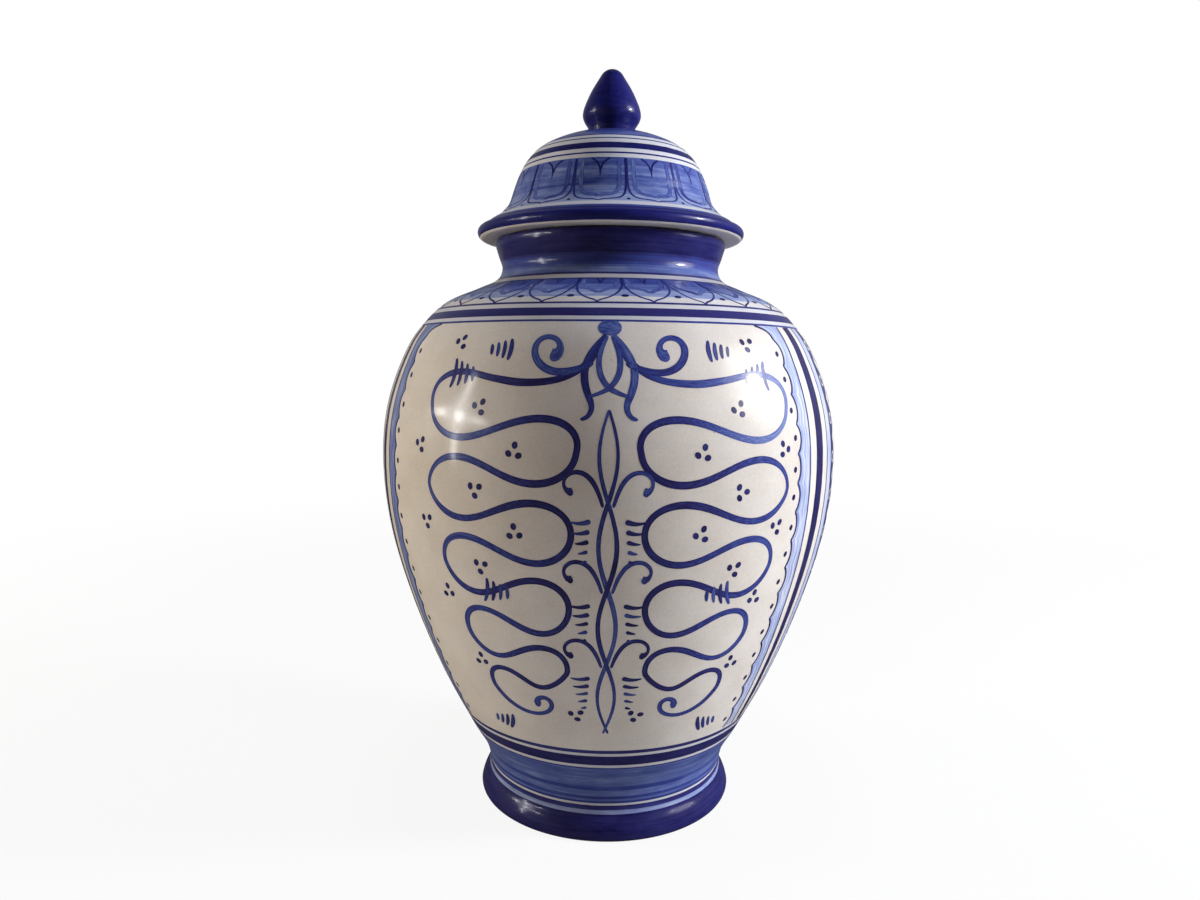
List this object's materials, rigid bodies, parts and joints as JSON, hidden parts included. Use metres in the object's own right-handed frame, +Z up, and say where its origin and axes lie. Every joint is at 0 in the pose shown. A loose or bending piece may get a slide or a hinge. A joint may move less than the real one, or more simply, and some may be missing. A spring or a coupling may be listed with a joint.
{
  "type": "covered jar",
  "caption": "Tall covered jar of glazed earthenware: swelling belly, short neck, turned foot, and a domed lid with a wide brim and a pointed knob that lifts off.",
  "frame": {"origin": "centre of the ring that the foot stands on, at the bottom of the part", "axes": "+Z up the axis of the pot, from foot to knob; -Y is the front, the middle of the painted panel"},
  "size_m": [0.25, 0.25, 0.4048],
  "materials": {
    "jar_glaze": "gloss tin glaze with cobalt painting",
    "lid_glaze": "gloss tin glaze with cobalt washes",
    "plain_glaze": "gloss tin glaze, unpainted",
    "cobalt_glaze": "gloss solid cobalt"
  },
  "bodies": {
    "jar": {"jar_body": "jar_glaze"},
    "lid": {"lid_shell": "lid_glaze", "lid_collar": "plain_glaze", "finial": "cobalt_glaze"}
  },
  "joints": [
    {"name": "lid_lift", "type": "slide", "parent": "jar", "child": "lid", "axis": [0, 0, 1], "range_m": [0, 0.12]}
  ]
}
